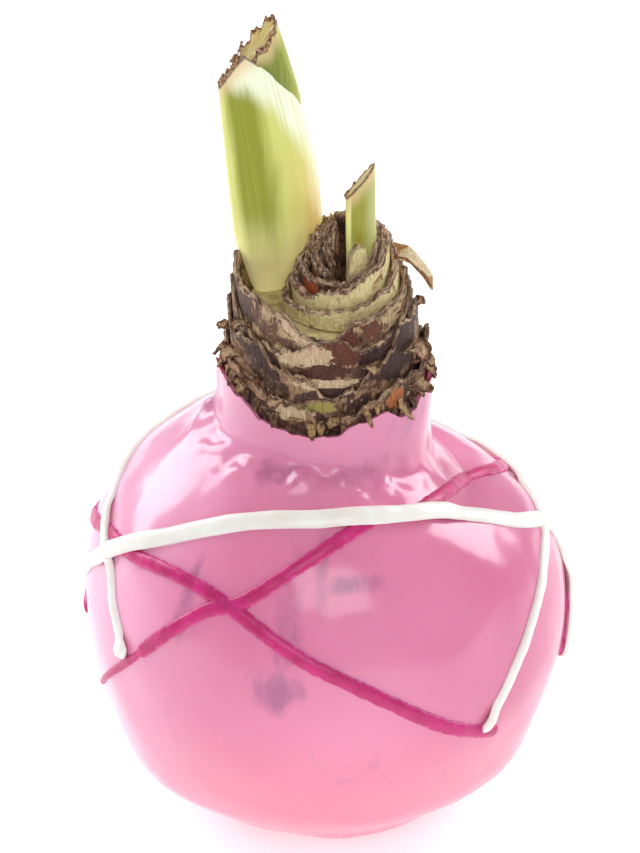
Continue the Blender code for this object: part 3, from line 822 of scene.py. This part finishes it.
cup_cream = blotched_finish(
    "cream_leaf_base", ((244, 232, 180), (214, 192, 124)), ((176, 128, 84), (120, 78, 54)),
    (0.56, 0.66), CUP_EDGE, 0.35, 0.8, [RED_SPOT])
cup_brown = blotched_finish(
    "brown_leaf_base", ((176, 136, 104), (108, 72, 54)), ((92, 58, 48), (56, 34, 30)),
    (0.46, 0.56), CUP_EDGE, 0.35, 0.8, [RED_SPOT])
cups = (
    ("leaf_cup_1", "leaf_base_cup_1", cup_cream, (9.1, 10.2), 1.3,
     ((-150, 113), (-90, 107.5), (-40, 107), (0, 108.3), (45, 110.5), (90, 114),
      (140, 117.5), (180, 117.5))),
    ("leaf_cup_2", "leaf_base_cup_2", cup_cream, (7.5, 8.7), 0.9,
     ((-150, 117), (-90, 111), (-50, 109.5), (0, 111.8), (45, 114.5), (90, 118),
      (180, 119.5))),
    ("leaf_cup_3", "leaf_base_cup_3", cup_brown, (6, 7.1), 0.5,
     ((-150, 118.5), (-90, 113), (-50, 112), (0, 112.6), (45, 114), (90, 117.5), (180, 120))),
)
for name, node, material, radii, bulge, top in cups:
    body = wall_body(node, radii, top, NECK_FOOT, steps=200, rows=12, middle=CUP_MIDDLE,
                     ragged=0.7, dent=CUP_DENT, bulge=bulge, lip=0.1)
    add_piece(name, body, material, "leaf_base", node, sharp=75)

# Torn inner leaves
# Left of the short shoot the innermost leaf bases are thin and crowded. Their cut edges show as
# a fan of brown and cream stripes that rises to the back. A rounded flap stands in front.
LEAVES_TO_A_BUNDLE = 3
LEAF_GAP = 0.12
bundles = (
    ("torn_leaves_outer", "leaf_base_torn_1", (3.65, 5.7), (-165, -32),
     ((-165, 119.5), (-90, 115), (-30, 113))),
    ("torn_leaves_inner", "leaf_base_torn_2", (1.9, 3.35), (-160, -38),
     ((-165, 120), (-90, 116.5), (-30, 114))),
)
for name, node, (inside, outside), arc, top in bundles:
    pitch = (outside - inside + LEAF_GAP) / LEAVES_TO_A_BUNDLE
    leaves = []
    for layer in range(LEAVES_TO_A_BUNDLE):
        low = inside + pitch * layer
        step_down = 0.5 * (LEAVES_TO_A_BUNDLE - 1 - layer) * (1 if layer % 2 else -0.6)
        stepped = [(bearing, height + step_down) for bearing, height in top]
        leaves.append(wall_body(node + "a" * layer, (low, low + pitch - LEAF_GAP), stepped,
                                NECK_FOOT, arc, 60, 12, CUP_MIDDLE, ragged=0.6, dent=CUP_DENT,
                                lip=0.03))
    add_piece(name, joined(leaves), cup_brown, "leaf_base", node, sharp=75)

flap = wall_body("leaf_flap_front", (4.8, 5.65),
                 ((8, 113.5), (20, 117.5), (35, 118.7), (50, 118), (62, 114)), NECK_FOOT,
                 (8, 62), 50, 12, CUP_MIDDLE, lip=0.2)
add_piece("front_flap", flap, cup_cream, "leaf_base", "leaf_flap_front", sharp=75)

# The tall shoot
# Two leaves rolled into a flattened bundle: an outer leaf that sheathes an inner one, its pale
# free edge running aslant. Both were cut off, and dried to a crinkled brown rim along the cut.
TALL_Y = 6.5 * MM
TALL_X_LOW = -8.25
TALL_WIDTH = 8.9 * MM
TALL_DEPTH = 5 * MM
TALL_WIDEST = 122 * MM
TALL_TURN = 30
TALL_CUT = 151.5 * MM
SHEATH_THICKNESS = 0.65 * MM
SHEATH_GAP = 0.2 * MM
INNER_LEAF_BARE_SHARE = 0.96
SHEATH_RISE_FREE = 48.7 * MM
SHEATH_RISE_BACK = 41.3 * MM
SHEATH_CUT_LOW = 145.6
SHEATH_CUT_RISE = 7.4
SHEATH_CUT_SPAN = (-95, 0)
INNER_SKIN_SHARE = 0.86


def tall_middle(height):
    """The tall shoot's axis: it bends to the left as it grows."""
    up = (height - 112 * MM) / MM
    x = TALL_X_LOW - 0.055 * up - 0.0018 * max(up, 0) ** 2
    x -= 1.9 * (1 - smooth_step(height, 102 * MM, 112 * MM))
    return Vector((x * MM, TALL_Y, height))


def tall_swell(height):
    """The tall shoot is narrow where it leaves the neck, widest a third of the way up, and
    narrows again towards its cut.
    """
    climb = min(max(height - NECK_FOOT, 0) / (13 * MM), 1)
    swell = 0.44 + 0.56 * sin(climb * pi / 2)
    return swell - 0.33 * (max(height - TALL_WIDEST, 0) / (36 * MM)) ** 1.5


def inside_share(height, depth):
    """The share of the tall shoot's section that lies a depth inside its outline."""
    return 1 - depth / (TALL_DEPTH * tall_swell(height))


def tall_section(bearing, height, share):
    """A point of a flattened bundle round the tall shoot's axis, at a share of its size."""
    swell = tall_swell(height)
    turn = radians(TALL_TURN * (1 - 0.35 * smooth_step(height, 116 * MM, 150 * MM)))
    across = Vector((cos(turn), sin(turn), 0))
    along = Vector((-sin(turn), cos(turn), 0))
    angle = radians(bearing)
    wide = sin(angle) * TALL_WIDTH * swell * share
    deep = -cos(angle) * TALL_DEPTH * swell * share
    return tall_middle(height) + across * wide + along * deep


def sheath_free_edge(share):
    """The bearing of the sheath's free edge, at a share of its height there."""
    return 92 - 115 * min(max(share - 0.5, 0) / 0.5, 1) ** 1.7


def sheath_back_edge(share):
    return -258 + 74 * smooth_step(share, 0.36, 1)


def inner_share(bearing, height):
    rise = height - NECK_FOOT
    free_edge = sheath_free_edge(rise / SHEATH_RISE_FREE)
    back_edge = sheath_back_edge(rise / SHEATH_RISE_BACK) + 360
    bare = min(bearing - free_edge, back_edge - bearing)
    covered = inside_share(height, SHEATH_THICKNESS + SHEATH_GAP)
    return covered + (INNER_LEAF_BARE_SHARE - covered) * smooth_step(bare, 6, 36)


def inner_cut(bearing):
    crinkle = 0.35 * sin(bearing * 0.21) + noise(towards(bearing) * 9) * 0.5
    return TALL_CUT + (5.4 * sin(radians(bearing)) + crinkle) * MM


def inner_leaf_place(u, v):
    """Up the leaf's outside, then in over its folded cut."""
    bearing = u * 360 - 180
    if v <= INNER_SKIN_SHARE:
        height = NECK_FOOT + (inner_cut(bearing) - NECK_FOOT) * v / INNER_SKIN_SHARE
        rib = 1 + 0.006 * sin(radians(bearing * 22))
        return tall_section(bearing, height, inner_share(bearing, height) * rib)
    inward = (1 - v) / (1 - INNER_SKIN_SHARE)
    height = TALL_CUT + (inner_cut(bearing) - TALL_CUT) * inward
    point = tall_section(bearing, height, inner_share(bearing, height) * inward)
    folds = noise(Vector((point.x * 350, point.y * 900, 3)))
    return point + UP * ((folds - 0.3) * 1.6 * MM * sin(pi * inward))


def inner_leaf_marks(u, v):
    """How far below the cut a point is in mm, and its quarter turns round the leaf."""
    bearing = u * 360 - 180
    on_cut = 0.9 if v > INNER_SKIN_SHARE + 0.01 else 0
    below = (inner_cut(bearing) - NECK_FOOT) * (1 - min(v / INNER_SKIN_SHARE, 1)) / MM
    return below + on_cut, bearing / 90


SHEATH_ROWS = 90
SHEATH_LOOP = 2 * SHEATH_ROWS + 2


def sheath_cut(bearing):
    """The height in mm where the sheath was cut off, which falls from the front to the left."""
    return SHEATH_CUT_LOW + SHEATH_CUT_RISE * smooth_step(bearing, *SHEATH_CUT_SPAN)


def sheath_spot(u, v):
    mark = round(v * SHEATH_LOOP) % SHEATH_LOOP
    on_outside = mark <= SHEATH_ROWS
    share = (mark if on_outside else SHEATH_LOOP - 1 - mark) / SHEATH_ROWS
    back_edge = sheath_back_edge(share)
    return on_outside, share, back_edge + (sheath_free_edge(share) - back_edge) * u


def sheath_place(u, v):
    on_outside, share, bearing = sheath_spot(u, v)
    cut = sheath_cut(bearing) + 0.3 * sin(bearing * 0.17)
    cut += noise(towards(bearing) * 8 + UP * 4) * 0.5
    height = NECK_FOOT + (cut * MM - NECK_FOOT) * share
    rib = 1 + 0.004 * sin(radians(bearing * 24))
    size = rib if on_outside else inside_share(height, SHEATH_THICKNESS)
    return tall_section(bearing, height, size)


def sheath_marks(u, v):
    """Degrees from the free edge, and degrees round the shoot."""
    share, bearing = sheath_spot(u, v)[1:]
    return sheath_free_edge(share) - bearing, bearing


def green_leaf(name, lines_a_degree):
    """A green leaf's material, height in mm, two marks, the fine lines along it and its place."""
    # emission_strength gives every green leaf a faint glow in its own colour: painted light.
    material, spot = new_finish(
        name, roughness=0.3, subsurface_weight=0.12, subsurface_scale=0.003,
        coat_weight=0.12, coat_roughness=0.15, emission_strength=0.16)
    height, side = spot.axis(2), spot.kept("side")
    across = spot.node("CombineXYZ", {}, {0: side * lines_a_degree, 1: height * 0.02})
    return material, height, spot.kept("mark"), side, across.grain(1, 4, 0.6), spot


def leaf_finish(material, leaf, below, veins, smooth=0.26, depth=0.25):
    """Tan under the cut, which fades out 4 mm below it, and dark brown at the very edge.

    The leaf also glows faintly in its own colour: painted light, for the light that comes through
    the thin leaf.
    """
    tan = ((below + 3 * (veins - 0.5)).bands(4.5, 0.6) * 0.85).pick(leaf, (214, 188, 136))
    colour = (below + 0.8 * (veins - 0.5)).bands(0.75, 0.3).pick(tan, (96, 56, 36))
    return wire_up(material, colour, smooth + 0.2 * veins, veins, depth, 0.35, leaf)


def sheath_finish():
    material, height, margin, side, veins, spot = green_leaf("sheath_leaf", 0.36)
    soft = spot.scaled((0.45, 0.45, 0.06)).grain(1, 2) - 0.5
    core = (side + 14 * soft).bands(-78, -55) * (side + 24 * soft).bands(2, -26)
    leaf = core.pick((206, 208, 112), (136, 142, 0))
    pale = (margin + 20 * soft).bands(66, 30) * height.bands(112, 124)
    leaf = pale.pick(leaf, veins.bands(0.48, 0.66).pick((240, 243, 218), (206, 214, 146)))
    leaf = (veins.bands(0.5, 0.75) * 0.18).pick(leaf, (224, 224, 160))
    leaf = (height + 7 * soft).bands(124, 105).pick(leaf, (255, 246, 178))
    low_right = (side + 20 * soft).bands(-12, 40) * height.bands(138, 118)
    leaf = (low_right * 0.85).pick(leaf, (226, 198, 120))
    cut = SHEATH_CUT_LOW + SHEATH_CUT_RISE * side.bands(*SHEATH_CUT_SPAN)
    return leaf_finish(material, leaf, cut - height, veins)


def inner_leaf_finish():
    material, height, below, side, veins, _ = green_leaf("inner_leaf", 32)
    leaf = side.bands(0.35, 0.9).pick((112, 124, 10), (158, 166, 54))
    leaf = (veins.bands(0.45, 0.75) * 0.4).pick(leaf, (190, 198, 110))
    leaf = height.bands(142, 128).pick(leaf, (222, 220, 150))
    return leaf_finish(material, leaf, below, veins)


add_piece("tall_inner_leaf", laid_grid(150, 110, inner_leaf_place, inner_leaf_marks),
          inner_leaf_finish(), "green_shoot", "tall_shoot_inner_leaf")
add_piece("tall_sheath_leaf", laid_grid(130, SHEATH_LOOP, sheath_place, sheath_marks),
          sheath_finish(), "green_shoot", "tall_shoot_sheath")


def crinkled_rim(path, thick, seed, around=8):
    """A dry bead of skin along a cut edge, crinkled and of uneven thickness."""
    last = len(path) - 1

    def place(u, v):
        index = round(u * last)
        point = path[index]
        ahead = (path[min(index + 1, last)] - path[max(index - 1, 0)]).normalized()
        side = ahead.cross(UP).normalized()
        angle = tau * v
        lumps = noise(point * 900 + Vector((seed, 0, 0)))
        finer = noise(point * 2200 + Vector((cos(angle), sin(angle), seed)))
        soft = min(index, last - index, 4) / 4
        radius = thick * (0.75 + 0.9 * lumps + 0.5 * finer) * (0.3 + 0.7 * soft)
        shift = noise(point * 1300 + Vector((0, seed, 0))) * 0.5 * MM
        lift = UP * (sin(angle) * radius * 1.3 + shift)
        return point + side * (cos(angle) * radius + shift * 0.6) + lift

    return laid_grid(last, around, place)


def rim_finish():
    material, spot = new_finish("dried_rim", roughness=0.6)
    colour = spot.grain(1.6, 4, 0.6).bands(0.42, 0.6).pick((206, 166, 128), (104, 60, 42))
    return wire_up(material, colour, None, spot.grain(3, 4, 0.7), 0.3, 1)


def inner_rim_point(bearing, share, lift):
    within = (bearing + 180) % 360 - 180
    share *= inner_share(within, inner_cut(bearing))
    return tall_section(bearing, inner_cut(within) + lift * MM, share)


RIM_STEPS = 90
rims = []
for seed, (start, end, share, lift) in enumerate((
        (-20, 200, 0.97, 0.1), (-110, 20, 0.9, 0.3), (-175, -60, 0.94, 0.9))):
    rims.append(crinkled_rim([
        inner_rim_point(start + (end - start) * step / RIM_STEPS, share, lift)
        for step in range(RIM_STEPS + 1)], 0.36 * MM, seed * 5))
sheath_bearings = [-180 + 156 * step / RIM_STEPS for step in range(RIM_STEPS + 1)]
for lift, share in ((0.1, 0.96), (0.8, 0.92)):
    rims.append(crinkled_rim([
        tall_section(bearing, (sheath_cut(bearing) + lift) * MM, share)
        for bearing in sheath_bearings], 0.34 * MM, lift * 20))
add_piece("dried_cut_rims", joined(rims), rim_finish(), "green_shoot", sharp=80)

# The short shoot
# A young folded leaf in the middle of the cups, green with a cream foot. It was cut aslant, from
# its tip down to its left edge, and the skin round the cut dried to a thin brown rim.
SHORT_FOOT = Vector((6.4 * MM, -1.2 * MM, NECK_FOOT))
SHORT_CUT = 129.6 * MM
SHORT_CUT_RISE = 3.4 * MM
SHORT_HALF_WIDTH = 2.4 * MM
SHORT_HALF_DEPTH = 1.5 * MM
SHORT_SKIN_SHARE = 0.9


def short_point(angle, share, inward):
    cut = SHORT_CUT + SHORT_CUT_RISE * sin(angle) * inward
    rise = share * (cut - SHORT_FOOT.z)
    wide = SHORT_HALF_WIDTH * (1 + 0.12 * smooth_step(rise, 0, 20 * MM))
    wide *= 1 - 0.22 * smooth_step(rise, 24 * MM, 36 * MM)
    if angle > 0:
        wide *= 1 + 0.3 * (1 - smooth_step(rise, 4 * MM, 22 * MM))
    x = sin(angle) * wide * inward
    y = -cos(angle) * SHORT_HALF_DEPTH * inward
    return SHORT_FOOT + Vector((x, y, rise))


def short_shoot_place(u, v):
    inward = 1 if v <= SHORT_SKIN_SHARE else (1 - v) / (1 - SHORT_SKIN_SHARE)
    return short_point(u * tau - pi, min(v / SHORT_SKIN_SHARE, 1), inward)


def short_shoot_marks(u, v):
    angle = u * tau - pi
    tall = (SHORT_CUT + SHORT_CUT_RISE * sin(angle) - SHORT_FOOT.z) / MM
    on_cut = 0.9 if v > SHORT_SKIN_SHARE + 0.01 else 0
    return (1 - min(v / SHORT_SKIN_SHARE, 1)) * tall + on_cut, sin(angle)


def short_leaf_finish():
    material, height, below, side, veins, _ = green_leaf("short_leaf", 8)
    leaf = side.bands(-0.72, -0.55).pick((226, 224, 140), (146, 144, 34))
    leaf = side.bands(0.1, 0.8).pick(leaf, (176, 178, 112))
    leaf = (veins.bands(0.5, 0.75) * 0.3).pick(leaf, (206, 206, 130))
    leaf = height.bands(120, 110).pick(leaf, (214, 206, 140))
    return leaf_finish(material, leaf, below, veins, 0.3, 0.2)


add_piece("short_leaf", laid_grid(72, 70, short_shoot_place, short_shoot_marks),
          short_leaf_finish(), "green_shoot", "short_shoot")
short_path = [short_point(tau * step / 60, 1, 0.97) for step in range(61)]
add_piece("short_cut_rim", crinkled_rim(short_path, 0.22 * MM, 40), rim_finish(),
          "green_shoot", sharp=80)

# The dry flake
# A curled strip of dry tunic, thin as paper and cream with a brown edge. It hangs on by its root
# at the right of the cups, and sticks out over the neck.
FLAKE_START = Vector((12.5 * MM, 0.6 * MM, 114.5 * MM))
FLAKE_OUT = 7.1 * MM
FLAKE_DROP = 6.2 * MM
FLAKE_WIDTH = 3.4 * MM
FLAKE_THICKNESS = 0.7 * MM
FLAKE_ROWS = 30


def flake_place(u, v):
    on_top, step = strip_row(v, FLAKE_ROWS)
    share = step / FLAKE_ROWS
    nick = 1 + 0.35 * noise(Vector((share * 6, round(u) * 5, 3)))
    across = (u - 0.5) * FLAKE_WIDTH * nick
    out = share * FLAKE_OUT
    drop = FLAKE_DROP * share * share + 0.8 * MM * sin(u * 5)
    curl = noise(Vector((share * 3, u * 3, 7))) * 0.7 * MM
    thick = FLAKE_THICKNESS * (0.3 if on_top else -0.3)
    return FLAKE_START + Vector((out + thick * 0.5, across - 0.2 * out, thick - drop + curl))


flake = laid_grid(24, 2 * FLAKE_ROWS, flake_place, lambda u, v: strip_mark(u, v, FLAKE_ROWS))
dry_flake = blotched_finish(
    "dry_flake", ((248, 238, 210), (222, 192, 140)), ((206, 158, 92), (150, 98, 50)),
    (0.5, 0.62), ((120, 74, 40), (186, 132, 76)), 0.3, 0.7)
add_piece("curled_flake", flake, dry_flake, "dry_tunic", "dry_flake", sharp=80)

# The stage
# A plain white floor that glows faintly, as a lit table does, under soft studio light: a tall
# soft box at each side behind the bulb, a wide one in front, and a pale room.
FLOOR_HALF = 1.5


def floor_finish():
    material, spot = new_finish("floor", roughness=0.9, emission_strength=0.42,
                                emission_color=(1, 1, 1, 1))
    return wire_up(material, 0.86 + 0.02 * spot.grain(0.02, 2))


floor_body = bmesh.new()
bmesh.ops.create_grid(floor_body, x_segments=1, y_segments=1, size=FLOOR_HALF)
floor_mesh = bpy.data.meshes.new("floor")
floor_body.to_mesh(floor_mesh)
floor_body.free()
floor_mesh.materials.append(floor_finish())
floor = new_object("floor", floor_mesh)

look_at = Vector((-0.0009, 0, 0.0779))


def soft_box(name, direction, distance, wide, tall, power):
    light = bpy.data.lights.new(name, "AREA")
    light.shape = "RECTANGLE"
    light.size = wide
    light.size_y = tall
    light.energy = power
    lamp = new_object(name, light)
    lamp.location = look_at + Vector(direction).normalized() * distance
    lamp.rotation_euler = (look_at - lamp.location).to_track_quat("-Z", "Y").to_euler()


soft_box("left_box", (-0.706, 0.518, 0.486), 1, 0.5, 0.8, 7)
soft_box("right_box", (0.72, 0.5, 0.49), 1, 0.5, 0.6, 6)
soft_box("front_box", (0.1, -0.9, 0.7), 1.4, 1, 0.7, 7)

world = bpy.data.worlds.new("studio")
world.use_nodes = True
world.node_tree.nodes["Background"].inputs["Color"].default_value = (1, 1, 1, 1)
world.node_tree.nodes["Background"].inputs["Strength"].default_value = 0.36
bpy.context.scene.world = world
bpy.context.scene.view_settings.view_transform = "Standard"

CAMERA_DISTANCE = 0.70
CAMERA_ELEVATION = radians(30)
PIXELS_PER_METRE = 5360
PHOTO_TALL = 853
camera_data = bpy.data.cameras.new("camera")
camera_data.sensor_fit = "VERTICAL"
camera_data.sensor_height = 36
camera_data.lens = 36 * PIXELS_PER_METRE * CAMERA_DISTANCE / PHOTO_TALL
camera_data.clip_start = 0.05
camera = new_object("camera", camera_data)
away = Vector((0, -cos(CAMERA_ELEVATION), sin(CAMERA_ELEVATION)))
camera.location = look_at + away * CAMERA_DISTANCE
camera.rotation_euler = (-away).to_track_quat("-Z", "Y").to_euler()
bpy.context.scene.camera = camera
